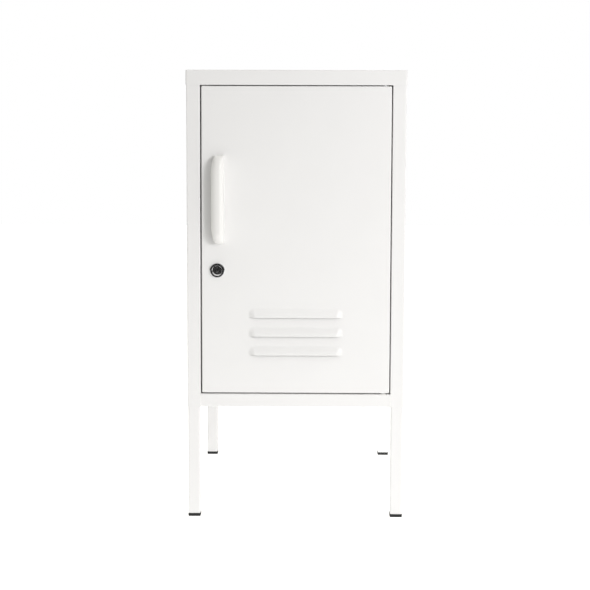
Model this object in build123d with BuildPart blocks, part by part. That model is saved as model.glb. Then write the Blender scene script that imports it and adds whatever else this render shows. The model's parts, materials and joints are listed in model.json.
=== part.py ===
"""One-door steel locker on four legs, in millimetres.

+Z is up and the front faces -Y. The origin lies on the floor, under the middle of the top panel.
"""

import os
from math import cos, hypot, pi, radians, sin, sqrt

from build123d import *

os.makedirs("parts", exist_ok=True)

# Folded carcass
body_width = 348.0
top_depth = 460.0
body_height = 539.0
leg_height = 181.0
sheet = 0.8
bend = 1.6
pan_corner = 2.0
slip = 0.2
stile_width = 21.4
top_rail = 23.7
bottom_rail = 20.8
rail_step = 0.6
rail_lip = 12.0
stop_width = 10.0
rear_flange = 18.0
rear_recess = 2.2
joining_flange = 14.0
floor_rear_flange = 16.0

# Door and its hinge
door_gap = 2.2
head_gap = 1.5
hinge_gap = 1.7
door_depth = 17.0
door_lip = 12.0
hinge_in = 10.0
hinge_back = 6.0
swing_room = 1.4
pin_diameter = 5.0
pin_running_gap = 0.05
pin_spare = 3.0
shoulder_diameter = 8.0
bush_body = 8.0
bush_flange = 10.0
bush_flange_height = 0.8
bush_length = 8.0
shoulder_gap = 0.1
bracket_width = 22.0
bracket_thickness = 3.0

# Louvers pressed out of the door
louver_count = 3
louver_length = 152.0
louver_height = 15.0
louver_out = 5.0
louver_end = 11.0
louver_corner = 9.0
louver_lip = 1.5
louver_lip_corner = 1.2
louver_lean = 0.2
louver_steps = 6
louver_pitch = 30.4
louver_rise = 91.8

# Handle, a bow that is open to the left, with its ridge near its closed side
handle_in = 16.0
handle_drop = 179.6
handle_length = 140.0
handle_width = 19.8
handle_out = 24.0
handle_crown = 10.0
handle_ridge = 6.5
handle_skirt = 0.6
handle_taper = 5.5
handle_taper_run = 30.0
handle_end_radius = 19.0
handle_end_steps = 6
handle_wall = 2.4
handle_boss = 9.0
handle_boss_inset = 16.0
handle_screw_spare = 2.0

# Cam lock
lock_in = 24.9
lock_drop = 43.0
bezel_diameter = 24.0
bezel_out = 3.2
bezel_chamfer = 0.8
bezel_throat = 1.5
barrel_diameter = 19.0
plug_diameter = 12.0
plug_head = 14.0
plug_head_depth = 1.5
plug_recess = 1.6
key_slot_width = 2.2
key_slot_length = 9.0
key_slot_depth = 12.0
lock_nut_across = 24.0
lock_nut_depth = 6.0
cam_thickness = 2.0
cam_width = 12.0
cam_hub = 16.8
cam_reach = 24.0
cam_square = 8.0
cam_gap = 0.6
cam_screw_depth = 8.0
stop_bumper_diameter = 8.0
bumper_gap = 0.3
bumper_rise = 57.0
bumper_round = 1.0

# Legs and feet
leg_size = 19.0
leg_wall = 1.2
leg_corner = 2.0
foot_size = 20.0
foot_height = 5.0
foot_plug = 14.0
foot_round = 0.8
plate_thickness = 2.0
plate_clear = 1.5
plate_margin = 12.0
bolt_from_leg = 13.0
bolt_pitch = 24.0

# Shelf, clips, cable hole and wall fixing
shelf_over_lock = 52.8
shelf_flange = 20.0
shelf_side_gap = 1.2
clip_sheet = 1.5
clip_width = 8.0
clip_ledge = 16.0
clip_rise = 14.0
clip_hook = 0.9
clip_hook_drop = 5.0
clip_tongue = 2.8
clip_tongue_drop = 1.4
clip_hook_gap = 0.1
clip_play = 0.3
cable_hole = 50.0
cable_hole_rise = 68.2
grommet_flange = 5.0
grommet_thickness = 2.0
grommet_wall = 3.5
grommet_bead = 0.8
wall_hole = 7.0
wall_hole_spacing = 220.0
wall_hole_drop = 36.3

# Fasteners: shank, head diameter, head height
m4 = 4.0
m4_head = 8.0
m4_head_height = 2.4
m6 = 6.0
m6_head = 11.0
m6_head_height = 3.0
m6_socket = 4.0
hole_play = 0.4
thread_play = 0.1
nut_across_m4 = 8.0
nut_height_m4 = 3.2
top_nut_height = 6.0
nut_across_m6 = 11.0
nut_height_m6 = 5.0
top_screw_margin = 6.0
bottom_screw_margin = 56.0
back_screw_count = 3
back_screw_margin = 20.0
screw_spare = 1.0
bolt_spare = 2.0

# Places that follow from the sizes above
half_width = body_width / 2
inside_x = half_width - sheet
top_half = half_width + slip + sheet
front_y = -top_depth / 2
stile_y = front_y + sheet + slip
rear_y = top_depth / 2 - sheet - rear_recess
stile_x = half_width - stile_width
base_z = leg_height
height = leg_height + body_height
floor_z = base_z + bottom_rail
head_z = height - top_rail
side_top = height - sheet - top_nut_height
back_rear = rear_y - sheet
back_front = back_rear - sheet
rail_y = stile_y + rail_step

door_free = stile_x - door_gap
door_hung = stile_x - hinge_gap
door_width = door_free + door_hung
door_x = (door_hung - door_free) / 2
door_bottom = floor_z + door_gap
door_top = head_z - head_gap
door_height = door_top - door_bottom
door_middle = (door_top + door_bottom) / 2
door_rear = stile_y + door_depth
hinge_x = door_hung - hinge_in
hinge_y = stile_y + hinge_back
stop_y = hinge_y + hypot(hinge_in, door_depth - hinge_back) + swing_room
stop_rear = stop_y + sheet

leg_x = inside_x - slip - leg_size / 2
front_leg_y = stile_y + sheet + slip + leg_size / 2
rear_leg_y = back_front - slip - leg_size / 2
plate_inner = hinge_x + bush_body / 2 + plate_clear
plate_outer = inside_x - slip
plate_width = plate_outer - plate_inner
plate_x = (plate_inner + plate_outer) / 2
plate_length = leg_size + bolt_from_leg + bolt_pitch + plate_margin
plate_top = floor_z - sheet
plate_under = plate_top - plate_thickness
plate_front = rail_y + bend + slip
plate_rear = back_front - slip - sheet - slip
flange_run = 2 * (min(plate_rear, -plate_front) - plate_length - slip)
flange_x = inside_x - joining_flange / 2
top_screw_spacing = flange_run - 2 * top_screw_margin
bottom_screw_spacing = flange_run - 2 * bottom_screw_margin
leg_inner = leg_x - leg_size / 2
rail_half = min(stile_x, leg_inner) - slip

handle_middle = door_top - handle_drop
handle_open_x = handle_in - door_free
handle_closed_x = handle_open_x + handle_width
handle_ridge_x = handle_closed_x - handle_ridge
lock_x = lock_in - door_free
lock_height = handle_middle - handle_length / 2 - lock_drop
cam_y = stop_rear + cam_gap
cam_rear = cam_y + cam_thickness
shelf_under = lock_height + shelf_over_lock - shelf_flange
cable_hole_height = floor_z + cable_hole_rise
wall_hole_height = head_z - wall_hole_drop
clip_x = stile_x - stop_width / 2
corners = {
    "front_left": (-1, -1),
    "front_right": (1, -1),
    "rear_left": (-1, 1),
    "rear_right": (1, 1),
}


def save(piece, name):
    """Label one finished piece and write it."""
    piece.label = name
    export_step(piece, f"parts/{name}.step")


def facing_front(y):
    """Plane at depth y that faces the front, with x to the right and z up."""
    return Plane.XZ.offset(-y)


def folded_section(points, radii, thick_side):
    """Section of one folded sheet whose outside follows points, inside the sketch that is open."""
    with BuildLine() as outline:
        FilletPolyline(*points, radius=radii)
        offset(amount=sheet, side=thick_side)
    make_face(outline.edges())


# Side panels: rear flange, side, stile, return and door stop in one folded sheet
side_path = [
    (half_width - rear_flange, rear_y),
    (half_width, rear_y),
    (half_width, stile_y),
    (stile_x, stile_y),
    (stile_x, stop_y),
    (stile_x - stop_width, stop_y),
]
side_bends = [bend, bend, bend, bend - sheet]
return_bottom = floor_z + slip
return_top = head_z - slip
clip_slot_z = shelf_under + clip_rise - clip_tongue_drop - clip_tongue / 2
back_screw_x = half_width - rear_flange / 2
back_screw_low = floor_z + back_screw_margin
back_screw_high = head_z - back_screw_margin
back_screw_step = (back_screw_high - back_screw_low) / (back_screw_count - 1)
back_screw_z = [back_screw_low + i * back_screw_step for i in range(back_screw_count)]

with BuildPart() as right_side_panel:
    with BuildSketch(Plane.XY.offset(return_bottom)):
        folded_section(side_path, side_bends, Side.RIGHT)
    extrude(amount=return_top - return_bottom)
    for end_z, end_height in ((base_z, return_bottom - base_z), (return_top, side_top - return_top)):
        with BuildSketch(Plane.XY.offset(end_z)):
            folded_section(side_path[:4], side_bends[:2], Side.RIGHT)
        extrude(amount=end_height)
    for flange_z in (base_z, side_top - sheet):
        with BuildSketch(Plane.XY.offset(flange_z)):
            with Locations((inside_x + sheet / 2, 0)):
                Rectangle(joining_flange + sheet / 2, flange_run, align=(Align.MAX, Align.CENTER))
        extrude(amount=sheet)
    with BuildSketch(Plane.XY.offset(base_z)):
        with Locations((flange_x, 0)):
            with GridLocations(0, bottom_screw_spacing, 1, 2):
                Circle((m4 + hole_play) / 2)
    extrude(amount=sheet, mode=Mode.SUBTRACT)
    with BuildSketch(Plane.XY.offset(side_top)):
        with Locations((flange_x, 0)):
            with GridLocations(0, top_screw_spacing, 1, 2):
                Circle((m4 + hole_play) / 2)
    extrude(amount=-sheet, mode=Mode.SUBTRACT)
    with BuildSketch(facing_front(rear_y)):
        with Locations(*[(back_screw_x, z) for z in back_screw_z]):
            Circle((m4 + hole_play) / 2)
    extrude(amount=sheet, mode=Mode.SUBTRACT)
    with BuildSketch(facing_front(stop_rear)):
        with Locations((clip_x, clip_slot_z)):
            Rectangle(clip_width + hole_play, clip_tongue + hole_play)
    extrude(amount=sheet, mode=Mode.SUBTRACT)
save(right_side_panel.part, "right_side_panel")

with BuildPart() as left_side_panel:
    mirror(right_side_panel.part, about=Plane.YZ)
save(left_side_panel.part, "left_side_panel")

# Top panel: a cap over the side panels, with a lip under its front edge
with BuildPart() as top_panel:
    with BuildSketch(Plane.XY.offset(head_z)):
        Rectangle(2 * top_half, top_depth)
    extrude(amount=top_rail)
    fillet(top_panel.edges().filter_by(Axis.Z), pan_corner)
    fillet(top_panel.faces().sort_by(Axis.Z)[-1].edges(), bend)
    offset(amount=-sheet, openings=top_panel.faces().sort_by(Axis.Z)[0])
    with BuildSketch(Plane.YZ):
        folded_section(
            [(front_y, head_z + top_rail / 2), (front_y, head_z), (stop_y - slip, head_z)],
            [bend],
            Side.LEFT,
        )
    extrude(amount=stile_x - slip, both=True)
    with BuildSketch(Plane.XY.offset(head_z)):
        with Locations((hinge_x, hinge_y)):
            Circle((bush_body + hole_play) / 2)
    extrude(amount=sheet, mode=Mode.SUBTRACT)
save(top_panel.part, "top_panel")

# Bottom panel: floor, bottom rail, rear flange and two side flanges that sit on the side panels
floor_half = inside_x - slip
floor_front = rail_y + bend
floor_rear = back_front - slip
foot_flange_z = base_z + sheet
with BuildPart() as bottom_panel:
    with BuildSketch(Plane.XY.offset(floor_z - sheet)):
        with Locations((0, floor_front)):
            Rectangle(2 * floor_half, floor_rear - floor_front, align=(Align.CENTER, Align.MIN))
    extrude(amount=sheet)
    with BuildSketch(Plane.YZ):
        folded_section(
            [
                (floor_front + bend, floor_z),
                (rail_y, floor_z),
                (rail_y, base_z),
                (rail_y + rail_lip, base_z),
            ],
            [bend, bend],
            Side.LEFT,
        )
    extrude(amount=rail_half, both=True)
    with BuildSketch(Plane.YZ):
        with Locations((floor_rear, floor_z)):
            Rectangle(sheet, floor_rear_flange, align=(Align.MAX, Align.MAX))
    extrude(amount=leg_inner - slip, both=True)
    for side in (-1, 1):
        with BuildSketch(Plane.XZ):
            with Locations((side * (floor_half - sheet / 2), (floor_z + foot_flange_z) / 2)):
                Rectangle(sheet, floor_z - foot_flange_z)
            with Locations((side * (floor_half - joining_flange / 2), foot_flange_z + sheet / 2)):
                Rectangle(joining_flange, sheet)
        extrude(amount=flange_run / 2, both=True)
    with BuildSketch(Plane.XY.offset(foot_flange_z)):
        with GridLocations(2 * flange_x, bottom_screw_spacing, 2, 2):
            Circle((m4 + hole_play) / 2)
    extrude(amount=sheet, mode=Mode.SUBTRACT)
    leg_bolt_places = []
    for side_x, side_y in corners.values():
        leg_y = front_leg_y if side_y < 0 else rear_leg_y
        first = leg_y - side_y * (leg_size / 2 + bolt_from_leg)
        leg_bolt_places += [
            (side_x * plate_x, first),
            (side_x * plate_x, first - side_y * bolt_pitch),
        ]
    with BuildSketch(Plane.XY.offset(floor_z)):
        with Locations(*leg_bolt_places):
            Circle((m6 + hole_play) / 2)
        with Locations((hinge_x, hinge_y)):
            Circle((bush_body + hole_play) / 2)
    extrude(amount=-sheet, mode=Mode.SUBTRACT)
save(bottom_panel.part, "bottom_panel")

# Back panel, inside the rear flanges
back_half = half_width - bend - slip
back_top = side_top - sheet
with BuildPart() as back_panel:
    with BuildSketch(facing_front(back_front)):
        with Locations((0, base_z + sheet)):
            Rectangle(2 * back_half, back_top - base_z - sheet, align=(Align.CENTER, Align.MIN))
        with Locations((0, cable_hole_height)):
            Circle(cable_hole / 2, mode=Mode.SUBTRACT)
        with Locations((0, wall_hole_height)):
            with GridLocations(wall_hole_spacing, 0, 2, 1):
                Circle(wall_hole / 2, mode=Mode.SUBTRACT)
        with Locations(*[(side * back_screw_x, z) for side in (-1, 1) for z in back_screw_z]):
            Circle((m4 + thread_play) / 2, mode=Mode.SUBTRACT)
        with Locations((0, clip_slot_z)):
            with GridLocations(2 * clip_x, 0, 2, 1):
                Rectangle(clip_width + hole_play, clip_tongue + hole_play, mode=Mode.SUBTRACT)
    extrude(amount=-sheet)
save(back_panel.part, "back_panel")


def pan_screw(length):
    """Pan head screw at the origin, its head above the plane and its shank below."""
    with BuildPart() as screw:
        with BuildSketch(Plane.XY):
            Circle(m4_head / 2)
        extrude(amount=m4_head_height)
        fillet(screw.edges().sort_by(Axis.Z)[-1], m4_head_height / 2)
        with BuildSketch(Plane.XY):
            Circle(m4 / 2)
        extrude(amount=-length)
        with BuildSketch(Plane.XY.offset(m4_head_height)):
            Rectangle(m4_head / 2, m4 / 5)
            Rectangle(m4 / 5, m4_head / 2)
        extrude(amount=-m4_head_height / 2, mode=Mode.SUBTRACT)
    return screw.part


def hex_nut(across, tall, bore):
    """Hexagon nut standing on the plane at the origin."""
    with BuildPart() as nut:
        with BuildSketch(Plane.XY):
            RegularPolygon(across / 2, 6, major_radius=False)
            Circle((bore + thread_play) / 2, mode=Mode.SUBTRACT)
        extrude(amount=tall)
    return nut.part


# Weld nuts under the cap, screwed from below through the side panels' upper flanges
top_fixings = [(sx * flange_x, sy * top_screw_spacing / 2) for sx in (-1, 1) for sy in (-1, 1)]
top_nut = hex_nut(nut_across_m4, top_nut_height, m4)
with BuildPart() as top_panel_nuts:
    with Locations(*[(x, y, side_top) for x, y in top_fixings]):
        add(top_nut)
save(top_panel_nuts.part, "top_panel_nuts")

top_screw = pan_screw(sheet + top_nut_height - screw_spare)
with BuildPart() as top_panel_screws:
    with Locations(*[Location((x, y, side_top - sheet), (180, 0, 0)) for x, y in top_fixings]):
        add(top_screw)
save(top_panel_screws.part, "top_panel_screws")

# Weld nuts on the tray's lips, screwed from below
bottom_fixings = [(sx * flange_x, sy * bottom_screw_spacing / 2) for sx in (-1, 1) for sy in (-1, 1)]
bottom_nut = hex_nut(nut_across_m4, nut_height_m4, m4)
with BuildPart() as bottom_panel_nuts:
    with Locations(*[(x, y, foot_flange_z + sheet) for x, y in bottom_fixings]):
        add(bottom_nut)
save(bottom_panel_nuts.part, "bottom_panel_nuts")

bottom_screw = pan_screw(2 * sheet + nut_height_m4 + screw_spare)
with BuildPart() as bottom_panel_screws:
    with Locations(*[Location((x, y, base_z), (180, 0, 0)) for x, y in bottom_fixings]):
        add(bottom_screw)
save(bottom_panel_screws.part, "bottom_panel_screws")

# Screws through the rear flanges into the back panel
back_fixings = [(side * back_screw_x, rear_y, z) for side in (-1, 1) for z in back_screw_z]
back_screw = pan_screw(2 * sheet + clip_sheet)
with BuildPart() as back_panel_screws:
    with Locations(*[Location(place, (-90, 0, 0)) for place in back_fixings]):
        add(back_screw)
save(back_panel_screws.part, "back_panel_screws")

# Cable grommet, a snapped-in ring
grommet_body = cable_hole - hole_play
with BuildPart() as cable_grommet:
    with BuildSketch(facing_front(back_rear)):
        with Locations((0, cable_hole_height)):
            Circle(cable_hole / 2 + grommet_flange)
    extrude(amount=-grommet_thickness)
    fillet(cable_grommet.edges().sort_by(Axis.Y)[-1], grommet_thickness / 2)
    with BuildSketch(facing_front(back_rear)):
        with Locations((0, cable_hole_height)):
            Circle(grommet_body / 2)
    extrude(amount=sheet + grommet_thickness)
    with BuildSketch(facing_front(back_front)):
        with Locations((0, cable_hole_height)):
            Circle(cable_hole / 2 + grommet_bead)
    extrude(amount=grommet_thickness / 2)
    with BuildSketch(facing_front(back_rear + grommet_thickness)):
        with Locations((0, cable_hole_height)):
            Circle(grommet_body / 2 - grommet_wall)
    extrude(amount=sheet + 2 * grommet_thickness, mode=Mode.SUBTRACT)
save(cable_grommet.part, "cable_grommet")

# Shelf: a pan that sits on four clips
shelf_front = stop_rear + clip_sheet + clip_play
shelf_rear = back_front - clip_sheet - clip_play
with BuildPart() as shelf:
    with BuildSketch(Plane.XY.offset(shelf_under)):
        with Locations((0, (shelf_front + shelf_rear) / 2)):
            Rectangle(2 * (inside_x - shelf_side_gap), shelf_rear - shelf_front)
    extrude(amount=shelf_flange)
    fillet(shelf.edges().filter_by(Axis.Z), pan_corner)
    fillet(shelf.faces().sort_by(Axis.Z)[-1].edges(), bend)
    offset(amount=-sheet, openings=shelf.faces().sort_by(Axis.Z)[0])
save(shelf.part, "shelf")


def shelf_clip():
    """Clip against a face at y 0 with the shelf on its +Y side, its ledge's top at z 0."""
    with BuildPart() as clip:
        with BuildSketch(Plane.YZ):
            with Locations((0, -clip_sheet)):
                Rectangle(clip_sheet, clip_rise + clip_sheet, align=Align.MIN)
                Rectangle(clip_ledge, clip_sheet, align=Align.MIN)
            hook_in = sheet + clip_hook_gap
            with Locations((-hook_in - clip_hook, clip_rise - clip_tongue_drop)):
                Rectangle(clip_hook + hook_in, clip_tongue, align=(Align.MIN, Align.MAX))
                Rectangle(clip_hook, clip_hook_drop, align=(Align.MIN, Align.MAX))
        extrude(amount=clip_width / 2, both=True)
    return clip.part


clip = shelf_clip()
with BuildPart() as shelf_clips:
    with Locations(*[(side * clip_x, stop_rear, shelf_under) for side in (-1, 1)]):
        add(clip)
    with Locations(*[Location((s * clip_x, back_front, shelf_under), (0, 0, 180)) for s in (-1, 1)]):
        add(clip)
save(shelf_clips.part, "shelf_clips")

# Legs, their plates and feet, one set for each corner
for corner, (side_x, side_y) in corners.items():
    leg_y = front_leg_y if side_y < 0 else rear_leg_y
    with BuildPart() as leg:
        with BuildSketch(Plane.XY.offset(foot_height)):
            with Locations((side_x * leg_x, leg_y)):
                RectangleRounded(leg_size, leg_size, leg_corner)
                tube_inside = leg_size - 2 * leg_wall
                RectangleRounded(tube_inside, tube_inside, leg_corner - leg_wall, mode=Mode.SUBTRACT)
        extrude(amount=plate_under - foot_height)
    save(leg.part, f"{corner}_leg")

    plate_edge = plate_front if side_y < 0 else plate_rear
    with BuildPart() as leg_plate:
        with BuildSketch(Plane.XY.offset(plate_under)):
            with Locations((side_x * plate_x, plate_edge - side_y * plate_length / 2)):
                RectangleRounded(plate_width, plate_length, pan_corner)
            with Locations(*leg_bolt_places):
                Circle((m6 + hole_play) / 2, mode=Mode.SUBTRACT)
        extrude(amount=plate_thickness)
    save(leg_plate.part, f"{corner}_leg_plate")

    with BuildPart() as foot:
        with BuildSketch(Plane.XY):
            with Locations((side_x * leg_x, leg_y)):
                RectangleRounded(foot_size, foot_size, leg_corner)
        extrude(amount=foot_height)
        fillet(foot.faces().sort_by(Axis.Z)[0].edges(), foot_round)
        with BuildSketch(Plane.XY.offset(foot_height)):
            with Locations((side_x * leg_x, leg_y)):
                plug_size = tube_inside - 2 * slip
                RectangleRounded(plug_size, plug_size, leg_corner - leg_wall)
        extrude(amount=foot_plug)
    save(foot.part, f"{corner}_foot")

with BuildPart() as leg_bolts:
    with BuildSketch(Plane.XY.offset(floor_z)):
        with Locations(*leg_bolt_places):
            Circle(m6_head / 2)
    extrude(amount=m6_head_height)
    fillet(leg_bolts.faces().group_by(Axis.Z)[-1].edges(), m6_head_height / 2)
    with BuildSketch(Plane.XY.offset(floor_z + m6_head_height)):
        with Locations(*leg_bolt_places):
            RegularPolygon(m6_socket / 2, 6)
    extrude(amount=-m6_head_height / 2, mode=Mode.SUBTRACT)
    with BuildSketch(Plane.XY.offset(floor_z)):
        with Locations(*leg_bolt_places):
            Circle(m6 / 2)
    extrude(amount=-(sheet + plate_thickness + nut_height_m6 + bolt_spare))
save(leg_bolts.part, "leg_bolts")

leg_nut = hex_nut(nut_across_m6, nut_height_m6, m6)
with BuildPart() as leg_nuts:
    with Locations(*[(x, y, plate_under - nut_height_m6) for x, y in leg_bolt_places]):
        add(leg_nut)
save(leg_nuts.part, "leg_nuts")

# Hinge: bushes whose flanges lie on the tray and on the cap's lip, pins and brackets in the door's ends
hinge_ends = {"lower": (floor_z, floor_z, door_bottom, 1), "upper": (head_z, head_z + sheet, door_top, -1)}
for end, (seat_z, flange_z, door_end, inward) in hinge_ends.items():
    with BuildPart() as hinge_bush:
        with BuildSketch(Plane.XY.offset(flange_z)):
            with Locations((hinge_x, hinge_y)):
                Circle(bush_flange / 2)
        extrude(amount=bush_flange_height)
        with BuildSketch(Plane.XY.offset(seat_z)):
            with Locations((hinge_x, hinge_y)):
                Circle(bush_body / 2)
        extrude(amount=-inward * bush_length)
        with BuildSketch(Plane.XY.offset(seat_z)):
            with Locations((hinge_x, hinge_y)):
                Circle(pin_diameter / 2 + pin_running_gap)
        extrude(amount=bush_length + bush_flange_height, both=True, mode=Mode.SUBTRACT)
    save(hinge_bush.part, f"{end}_hinge_bush")

    bracket_seat = door_end + inward * sheet
    bracket_end = bracket_seat + inward * bracket_thickness
    bracket_front = stile_y + bend + slip
    bracket_rear = door_rear - sheet - slip
    with BuildPart() as hinge_bracket:
        with BuildSketch(Plane.XY.offset(bracket_seat)):
            with Locations((door_hung - pan_corner - slip, (bracket_front + bracket_rear) / 2)):
                Rectangle(bracket_width, bracket_rear - bracket_front, align=(Align.MAX, Align.CENTER))
            with Locations((hinge_x, hinge_y)):
                Circle(pin_diameter / 2, mode=Mode.SUBTRACT)
        extrude(amount=inward * bracket_thickness)
    save(hinge_bracket.part, f"{end}_hinge_bracket")

    with BuildPart() as hinge_pin:
        with BuildSketch(Plane.XY.offset(seat_z - inward * bush_length)):
            with Locations((hinge_x, hinge_y)):
                Circle(pin_diameter / 2)
        extrude(amount=bracket_end - seat_z + inward * (bush_length + pin_spare))
        if end == "lower":
            with BuildSketch(Plane.XY.offset(door_end)):
                with Locations((hinge_x, hinge_y)):
                    Circle(shoulder_diameter / 2)
            extrude(amount=flange_z + bush_flange_height + shoulder_gap - door_end)
    save(hinge_pin.part, f"{end}_hinge_pin")

# Rubber bumpers on the left door stop
bumper_length = stop_y - door_rear - bumper_gap
with BuildPart() as door_bumpers:
    with BuildSketch(facing_front(stop_y)):
        with Locations(*[(-clip_x, z) for z in (door_bottom + bumper_rise, door_top - bumper_rise)]):
            Circle(stop_bumper_diameter / 2)
    extrude(amount=bumper_length)
    fillet(door_bumpers.faces().group_by(Axis.Y)[0].edges(), bumper_round)
save(door_bumpers.part, "door_bumpers")


def louver_outline(run):
    """Outline of a louver's hood at a share run of the way from the door's face to its lip, in the open sketch."""
    half = louver_length / 2 - run * louver_end
    top = louver_height + run * (louver_lip - louver_height)
    corner = louver_corner + run * (louver_lip_corner - louver_corner)
    with BuildLine() as outline:
        FilletPolyline((-half, 0), (-half, top), (half, top), (half, 0), radius=corner)
        Line((half, 0), (-half, 0))
    make_face(outline.edges())


def louver_form(face, back):
    """Filled hood of a louver with its slit's edge at z 0, which swells out of the door at depth face."""
    with BuildPart() as form:
        with BuildSketch(facing_front(face)):
            louver_outline(0)
        extrude(amount=face - back)
        for step in range(louver_steps + 1):
            run = step / louver_steps
            swell = louver_lean * run + (1 - louver_lean) * (1 - cos(pi * run)) / 2
            with BuildSketch(facing_front(face - louver_out * swell)):
                louver_outline(run)
        loft()
    return form.part


# Door: a pan with lips behind, louvers, and holes for the lock, handle and pins
louver_first = door_bottom + louver_rise - (louver_count - 1) * louver_pitch / 2
louver_places = [(0, stile_y, louver_first + i * louver_pitch) for i in range(louver_count)]
louver_hood = louver_form(0, sheet / 2)
louver_room = louver_form(sheet, 2 * sheet)
handle_screw_spread = handle_length / 2 - handle_boss_inset
handle_shoulder = handle_out - handle_crown
handle_free_edge = handle_shoulder - handle_skirt
boss_x = handle_closed_x - handle_boss / 2
handle_screw_places = [(boss_x, handle_middle + end * handle_screw_spread) for end in (-1, 1)]
with BuildPart() as door_panel:
    with BuildSketch(facing_front(stile_y)):
        with Locations((door_x, door_middle)):
            Rectangle(door_width, door_height)
    extrude(amount=-door_depth)
    fillet(door_panel.edges().filter_by(Axis.Y), pan_corner)
    fillet(door_panel.faces().sort_by(Axis.Y)[0].edges(), bend)
    offset(amount=-sheet, openings=door_panel.faces().sort_by(Axis.Y)[-1])
    with BuildSketch(facing_front(door_rear)):
        with Locations((door_x, door_middle)):
            RectangleRounded(door_width, door_height, pan_corner)
            Rectangle(door_width - 2 * door_lip, door_height - 2 * door_lip, mode=Mode.SUBTRACT)
    extrude(amount=sheet)
    with Locations(*louver_places):
        add(louver_hood)
        add(louver_room, mode=Mode.SUBTRACT)
    with BuildSketch(facing_front(stile_y)):
        with Locations((lock_x, lock_height)):
            Circle((barrel_diameter + hole_play) / 2)
        with Locations(*handle_screw_places):
            Circle((m4 + hole_play) / 2)
    extrude(amount=-sheet, mode=Mode.SUBTRACT)
    with BuildSketch(Plane.XY.offset(door_bottom)):
        with Locations((hinge_x, hinge_y)):
            Circle((pin_diameter + hole_play) / 2)
    extrude(amount=door_height, mode=Mode.SUBTRACT)
save(door_panel.part, "door_panel")


def handle_section(along, wall, mouth):
    """Section at a distance along from the handle's middle, inset by wall, in the sketch that is open.

    With a mouth, the section is open to the left between its free edge and the door at y 0.
    """
    radius = handle_end_radius - wall
    into_end = max(0, along - handle_length / 2 + handle_end_radius)
    out = handle_out - handle_end_radius + sqrt(max(0, radius**2 - into_end**2))
    rise = out / (handle_out - wall)
    into_taper = max(0, along - handle_length / 2 + handle_taper_run) / handle_taper_run
    right = handle_closed_x - wall
    free = handle_open_x + wall + handle_taper * into_taper**2
    shoulder = handle_shoulder * rise
    edge = handle_free_edge * rise
    crown = (handle_ridge_x, -shoulder)
    with BuildLine() as outline:
        EllipticalCenterArc(crown, handle_ridge_x - free, out - shoulder, start_angle=180, arc_size=90)
        EllipticalCenterArc(crown, right - handle_ridge_x, out - shoulder, start_angle=270, arc_size=90)
        if mouth:
            Polyline((free, -shoulder), (free, -edge), (handle_beyond, -edge), (handle_beyond, 0), (right, 0))
        else:
            Polyline((free, -shoulder), (free, 0), (right, 0))
        Line((right, 0), (right, -shoulder))
    make_face(outline.edges())


def handle_form(wall, mouth):
    """Handle's outside, inset by wall and, with a mouth, open to the left below its free edge."""
    straight = handle_length / 2 - handle_taper_run
    end_start = handle_length / 2 - handle_end_radius
    end_length = handle_end_radius - wall
    turns = [radians(90 * (i + 1) / handle_end_steps) for i in range(handle_end_steps)]
    end_places = [straight, (straight + end_start) / 2, end_start]
    end_places += [end_start + end_length * sin(turn) for turn in turns]
    with BuildPart() as form:
        with BuildSketch(Plane.XY.offset(-straight)):
            handle_section(0, wall, mouth)
        extrude(amount=2 * straight)
        for end in (-1, 1):
            for along in end_places:
                with BuildSketch(Plane.XY.offset(end * along)):
                    handle_section(along, wall, mouth)
            loft()
    return form.part


# Handle: a shell pull closed on the right, with two bosses for its screws
handle_beyond = handle_open_x - handle_wall
handle_outside = handle_form(0, False)
handle_inside = handle_form(handle_wall, True)
with BuildPart() as handle_room:
    add(handle_inside)
    with BuildSketch(Plane.XZ):
        with Locations(*[(boss_x, end * handle_screw_spread) for end in (-1, 1)]):
            Circle(handle_boss / 2)
    extrude(amount=handle_out, mode=Mode.SUBTRACT)

with BuildPart() as handle:
    with Locations((0, stile_y, handle_middle)):
        add(handle_outside)
        add(handle_room.part, mode=Mode.SUBTRACT)
    with BuildSketch(facing_front(stile_y)):
        with Locations(*handle_screw_places):
            Circle((m4 + thread_play) / 2)
    extrude(amount=handle_free_edge, mode=Mode.SUBTRACT)
save(handle.part, "handle")

handle_screw = pan_screw(sheet + handle_free_edge - handle_screw_spare)
with BuildPart() as handle_screws:
    with Locations(*[Location((x, stile_y + sheet, z), (-90, 0, 0)) for x, z in handle_screw_places]):
        add(handle_screw)
save(handle_screws.part, "handle_screws")

# Lock: a chromed body through the door's face with its nut behind
barrel_rear = cam_y - bumper_gap
with BuildPart() as lock_housing:
    with BuildSketch(facing_front(stile_y)):
        with Locations((lock_x, lock_height)):
            Circle(bezel_diameter / 2)
    extrude(amount=bezel_out)
    chamfer(lock_housing.faces().sort_by(Axis.Y)[0].edges(), bezel_chamfer)
    with BuildSketch(facing_front(stile_y)):
        with Locations((lock_x, lock_height)):
            Circle(barrel_diameter / 2)
    extrude(amount=stile_y - barrel_rear)
    with BuildSketch(facing_front(barrel_rear)):
        with Locations((lock_x, lock_height)):
            Circle(plug_diameter / 2 + pin_running_gap)
    extrude(amount=barrel_rear - stile_y + bezel_out, mode=Mode.SUBTRACT)
    with BuildSketch(facing_front(stile_y - bezel_out)):
        with Locations((lock_x, lock_height)):
            Circle(plug_head / 2 + pin_running_gap)
    extrude(amount=-(plug_recess + plug_head_depth + pin_running_gap), mode=Mode.SUBTRACT)
    bezel_edges = lock_housing.faces().sort_by(Axis.Y)[0].edges()
    chamfer(bezel_edges.sort_by(SortBy.RADIUS)[0], bezel_throat)
save(lock_housing.part, "lock_housing")

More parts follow.
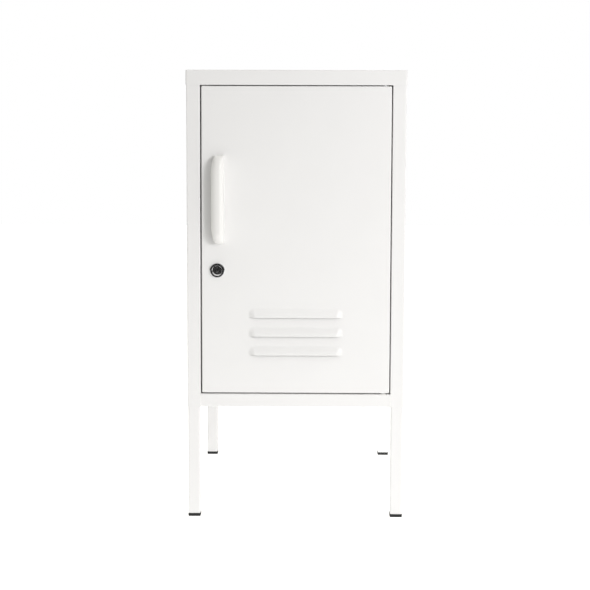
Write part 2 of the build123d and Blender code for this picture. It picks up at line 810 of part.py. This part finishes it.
with BuildPart() as lock_nut:
    with BuildSketch(facing_front(stile_y + sheet)):
        with Locations((lock_x, lock_height)):
            RegularPolygon(lock_nut_across / 2, 6, major_radius=False)
            Circle((barrel_diameter + thread_play) / 2, mode=Mode.SUBTRACT)
    extrude(amount=-lock_nut_depth)
save(lock_nut.part, "lock_nut")

# Plug with its key slot, and the cam on its square end, pointing down when unlocked
plug_front = stile_y - bezel_out + plug_recess
with BuildPart() as lock_plug:
    with BuildSketch(facing_front(cam_y)):
        with Locations((lock_x, lock_height)):
            Circle(plug_diameter / 2)
    extrude(amount=cam_y - plug_front)
    with BuildSketch(facing_front(plug_front)):
        with Locations((lock_x, lock_height)):
            Circle(plug_head / 2)
    extrude(amount=-plug_head_depth)
    with BuildSketch(facing_front(plug_front)):
        with Locations((lock_x, lock_height)):
            Rectangle(key_slot_width, key_slot_length)
    extrude(amount=-key_slot_depth, mode=Mode.SUBTRACT)
    with BuildSketch(facing_front(cam_y)):
        with Locations((lock_x, lock_height)):
            Rectangle(cam_square, cam_square)
    extrude(amount=-cam_thickness)
    with BuildSketch(facing_front(cam_rear)):
        with Locations((lock_x, lock_height)):
            Circle((m4 + thread_play) / 2)
    extrude(amount=cam_screw_depth, mode=Mode.SUBTRACT)
save(lock_plug.part, "lock_plug")

with BuildPart() as lock_cam:
    with BuildSketch(facing_front(cam_y)) as cam_outline:
        with Locations((lock_x, lock_height)):
            Rectangle(cam_width, cam_reach, align=(Align.CENTER, Align.MAX))
        fillet(cam_outline.vertices().group_by(Axis.Y)[0], cam_width / 4)
        with Locations((lock_x, lock_height)):
            Circle(cam_hub / 2)
            Rectangle(cam_square + thread_play, cam_square + thread_play, mode=Mode.SUBTRACT)
    extrude(amount=-cam_thickness)
save(lock_cam.part, "lock_cam")

cam_screw_form = pan_screw(cam_screw_depth - screw_spare)
with BuildPart() as cam_screw:
    with Locations(Location((lock_x, cam_rear, lock_height), (-90, 0, 0))):
        add(cam_screw_form)
save(cam_screw.part, "cam_screw")
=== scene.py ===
"""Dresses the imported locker: finishes, a white floor, soft studio light and the photo's camera.

Lengths are metres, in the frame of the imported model: +Z up, the front faces -Y, the floor is z 0.
"""

import json
import math

import bpy
from mathutils import Matrix, Vector

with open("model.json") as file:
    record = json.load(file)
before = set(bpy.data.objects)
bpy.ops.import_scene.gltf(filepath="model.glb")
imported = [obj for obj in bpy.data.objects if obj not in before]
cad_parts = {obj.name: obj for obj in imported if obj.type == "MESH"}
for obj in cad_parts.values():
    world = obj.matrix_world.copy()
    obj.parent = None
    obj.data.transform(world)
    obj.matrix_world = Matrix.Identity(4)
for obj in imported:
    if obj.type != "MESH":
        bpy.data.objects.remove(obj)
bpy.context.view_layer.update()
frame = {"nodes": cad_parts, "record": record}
millimetre = 0.001

# Photo: a square frame, with the fitted camera's focal length and optical axis in its pixels
photo_side = 590
focal_pixels = 1452.1
axis_row = 258.0
camera_place = (0.0243, -2.5346, 0.649)
camera_pitch = 0.09803
camera_yaw = 0.01113
camera_roll = 0.003
sensor_width = 36.0

# Room: a bright ceiling and dim walls light the object, and the camera sees a white backdrop
room_tint = (1.0, 0.993, 0.955, 1)
ceiling_strength = 1.12
wall_strength = 0.02
backdrop_white = (1, 1, 1, 1)
backdrop_shown = 1.0

# Floor: its glow lights the object, and floor_shown is added to the glow that the camera sees
floor_grey = (0.5, 0.5, 0.5, 1)
floor_glow = 0.435
floor_shown = 0.6
floor_reach = 6.0
floor_front = -2.2

# Square soft boxes, with their sides in metres and their power in watts
lamp_tint = (1.0, 0.99, 1.0)
lamps = {
    "key_light": dict(place=(1.2, -1.85, 0.98), target=(0.0, -0.23, 0.42), side=0.6, power=19.4),
    "floor_bounce": dict(place=(0.3, -0.45, 0.002), target=(0.3, -0.45, 1.0), side=1.8, power=3.2),
    "under_light": dict(place=(0.08, -0.12, 0.1), target=(0.08, 0.2, 0.1), side=0.16, power=0.3),
}

# Noise: the stretch of its values that is used, and its detail in surfaces and in relief
noise_low = 0.3
noise_high = 0.7
surface_detail = 2.0
relief_detail = 3.0

# Finishes of the record's slots, with relief and the widths of the noise's cells in millimetres
finishes = {
    "white_paint": dict(
        name="powder_coat",
        colour=(0.858, 0.855, 0.851),
        mottle=0.006,
        mottle_cells=70,
        roughness=(0.38, 0.44),
        rough_cells=20,
        relief=0.014,
        relief_cells=1.3,
    ),
    "handle_plastic": dict(
        name="moulded_white",
        colour=(0.885, 0.879, 0.861),
        mottle=0.004,
        mottle_cells=60,
        roughness=(0.29, 0.31),
        rough_cells=30,
        relief=0.0005,
        relief_cells=1.5,
    ),
    "black_plastic": dict(
        name="moulded_black",
        colour=(0.018, 0.018, 0.019),
        mottle=0.25,
        mottle_cells=5,
        roughness=(0.48, 0.62),
        rough_cells=2,
        relief=0.03,
        relief_cells=0.5,
        specular=0.4,
    ),
    "lock_chrome": dict(
        name="polished_chrome",
        colour=(0.78, 0.78, 0.8),
        mottle=0.02,
        mottle_cells=6,
        roughness=(0.08, 0.15),
        rough_cells=1.5,
        relief=0.002,
        relief_cells=0.8,
        metallic=1.0,
    ),
    "zinc_hardware": dict(
        name="zinc_plate",
        colour=(0.62, 0.63, 0.64),
        mottle=0.1,
        mottle_cells=3,
        roughness=(0.3, 0.48),
        rough_cells=1.2,
        relief=0.01,
        relief_cells=0.6,
        metallic=1.0,
    ),
    "white_nylon": dict(
        name="natural_nylon",
        colour=(0.84, 0.83, 0.79),
        mottle=0.02,
        mottle_cells=4,
        roughness=(0.4, 0.5),
        rough_cells=2,
        relief=0.01,
        relief_cells=0.5,
    ),
    "bumper_rubber": dict(
        name="soft_rubber",
        colour=(0.5, 0.5, 0.49),
        mottle=0.05,
        mottle_cells=3,
        roughness=(0.65, 0.8),
        rough_cells=1,
        relief=0.02,
        relief_cells=0.4,
        specular=0.3,
    ),
}


def noise(tree, cells, detail):
    """Noise in the node's own coordinates, with cells about that many millimetres wide."""
    coordinates = tree.nodes.new("ShaderNodeTexCoord")
    texture = tree.nodes.new("ShaderNodeTexNoise")
    texture.inputs["Scale"].default_value = 1 / (cells * millimetre)
    texture.inputs["Detail"].default_value = detail
    tree.links.new(coordinates.outputs["Object"], texture.inputs["Vector"])
    return texture.outputs["Fac"]


def mottled(tree, value, colour, change):
    """The colour made a little darker and lighter by the noise value."""
    ramp = tree.nodes.new("ShaderNodeValToRGB")
    darker, lighter = ramp.color_ramp.elements
    darker.position = noise_low
    darker.color = (*[channel * (1 - change) for channel in colour], 1)
    lighter.position = noise_high
    lighter.color = (*[min(1, channel * (1 + change)) for channel in colour], 1)
    tree.links.new(value, ramp.inputs["Fac"])
    return ramp.outputs["Color"]


def spread(tree, value, low, high):
    """The noise value mapped to the range from low to high."""
    reach = tree.nodes.new("ShaderNodeMapRange")
    reach.inputs["From Min"].default_value = noise_low
    reach.inputs["From Max"].default_value = noise_high
    reach.inputs["To Min"].default_value = low
    reach.inputs["To Max"].default_value = high
    tree.links.new(value, reach.inputs["Value"])
    return reach.outputs["Result"]


def raised(tree, value, height):
    """The surface's direction over a relief of that height in millimetres."""
    bump = tree.nodes.new("ShaderNodeBump")
    bump.inputs["Distance"].default_value = height * millimetre
    tree.links.new(value, bump.inputs["Height"])
    return bump.outputs["Normal"]


def finish_material(
    name,
    colour,
    mottle,
    mottle_cells,
    roughness,
    rough_cells,
    relief,
    relief_cells,
    metallic=0.0,
    specular=0.5,
):
    """A finish whose colour, roughness and relief each vary over cells of their own size."""
    made = bpy.data.materials.new(name)
    made.use_nodes = True
    tree = made.node_tree
    surface = tree.nodes["Principled BSDF"].inputs
    surface["Metallic"].default_value = metallic
    surface["Specular IOR Level"].default_value = specular
    colour_noise = noise(tree, mottle_cells, surface_detail)
    tree.links.new(mottled(tree, colour_noise, colour, mottle), surface["Base Color"])
    rough_noise = noise(tree, rough_cells, surface_detail)
    tree.links.new(spread(tree, rough_noise, *roughness), surface["Roughness"])
    relief_noise = noise(tree, relief_cells, relief_detail)
    tree.links.new(raised(tree, relief_noise, relief), surface["Normal"])
    return made


def dress_nodes():
    """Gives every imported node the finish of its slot."""
    made = {slot: finish_material(**finish) for slot, finish in finishes.items()}
    slots = {part["node"]: part["material_slot"] for part in frame["record"]["subparts"]}
    for name, node in frame["nodes"].items():
        node.data.materials.clear()
        node.data.materials.append(made[slots[name]])


def floor_material():
    """Pale grey with a glow of its own, which is stronger as the camera sees it."""
    made = bpy.data.materials.new("studio_floor")
    made.use_nodes = True
    tree = made.node_tree
    tree.nodes.remove(tree.nodes["Principled BSDF"])
    diffuse = tree.nodes.new("ShaderNodeBsdfDiffuse")
    diffuse.inputs["Color"].default_value = floor_grey
    path = tree.nodes.new("ShaderNodeLightPath")
    strength = tree.nodes.new("ShaderNodeMath")
    strength.operation = "MULTIPLY_ADD"
    strength.inputs[1].default_value = floor_shown
    strength.inputs[2].default_value = floor_glow
    tree.links.new(path.outputs["Is Camera Ray"], strength.inputs[0])
    glow = tree.nodes.new("ShaderNodeEmission")
    glow.inputs["Color"].default_value = room_tint
    tree.links.new(strength.outputs["Value"], glow.inputs["Strength"])
    both = tree.nodes.new("ShaderNodeAddShader")
    tree.links.new(diffuse.outputs["BSDF"], both.inputs[0])
    tree.links.new(glow.outputs["Emission"], both.inputs[1])
    tree.links.new(both.outputs["Shader"], tree.nodes["Material Output"].inputs["Surface"])
    return made


def make_floor():
    """A white floor that glows a little, as a lit studio sweep does."""
    side = floor_reach
    corners = [(-side, floor_front, 0), (side, floor_front, 0), (side, side, 0), (-side, side, 0)]
    mesh = bpy.data.meshes.new("floor")
    mesh.from_pydata(corners, [], [(0, 1, 2, 3)])
    mesh.materials.append(floor_material())
    floor = bpy.data.objects.new("floor", mesh)
    bpy.context.scene.collection.objects.link(floor)


def make_room():
    """A bright ceiling over dim walls, shown as a white backdrop behind the object."""
    world = bpy.data.worlds.new("studio")
    bpy.context.scene.world = world
    world.use_nodes = True
    tree = world.node_tree
    coordinates = tree.nodes.new("ShaderNodeTexCoord")
    direction = tree.nodes.new("ShaderNodeSeparateXYZ")
    strength = tree.nodes.new("ShaderNodeMapRange")
    strength.inputs["To Min"].default_value = wall_strength
    strength.inputs["To Max"].default_value = ceiling_strength
    room = tree.nodes["Background"]
    room.inputs["Color"].default_value = room_tint
    backdrop = tree.nodes.new("ShaderNodeBackground")
    backdrop.inputs["Color"].default_value = backdrop_white
    backdrop.inputs["Strength"].default_value = backdrop_shown
    path = tree.nodes.new("ShaderNodeLightPath")
    choose = tree.nodes.new("ShaderNodeMixShader")
    tree.links.new(coordinates.outputs["Generated"], direction.inputs["Vector"])
    tree.links.new(direction.outputs["Z"], strength.inputs["Value"])
    tree.links.new(strength.outputs["Result"], room.inputs["Strength"])
    tree.links.new(path.outputs["Is Camera Ray"], choose.inputs["Fac"])
    tree.links.new(room.outputs["Background"], choose.inputs[1])
    tree.links.new(backdrop.outputs["Background"], choose.inputs[2])
    tree.links.new(choose.outputs["Shader"], tree.nodes["World Output"].inputs["Surface"])


def area_light(name, place, target, side, power):
    """A square soft box at place, turned to target and hidden from the camera."""
    light = bpy.data.lights.new(name, "AREA")
    light.shape = "SQUARE"
    light.size = side
    light.energy = power
    light.color = lamp_tint
    lamp = bpy.data.objects.new(name, light)
    lamp.location = place
    lamp.rotation_mode = "QUATERNION"
    lamp.rotation_quaternion = (Vector(target) - Vector(place)).to_track_quat("-Z", "Y")
    lamp.visible_camera = False
    bpy.context.scene.collection.objects.link(lamp)


def make_camera():
    """The photo's viewpoint."""
    camera = bpy.data.cameras.new("camera")
    camera.sensor_width = sensor_width
    camera.lens = focal_pixels / photo_side * sensor_width
    camera.shift_y = (axis_row - photo_side / 2) / photo_side
    viewer = bpy.data.objects.new("camera", camera)
    viewer.matrix_world = (
        Matrix.Translation(camera_place)
        @ Matrix.Rotation(camera_yaw, 4, "Z")
        @ Matrix.Rotation(math.pi / 2 - camera_pitch, 4, "X")
        @ Matrix.Rotation(camera_roll, 4, "Z")
    )
    bpy.context.scene.collection.objects.link(viewer)
    bpy.context.scene.camera = viewer


dress_nodes()
make_floor()
make_room()
for lamp_name, lamp_values in lamps.items():
    area_light(lamp_name, **lamp_values)
make_camera()
# Plain display tones, so that white stays white
bpy.context.scene.view_settings.view_transform = "Standard"
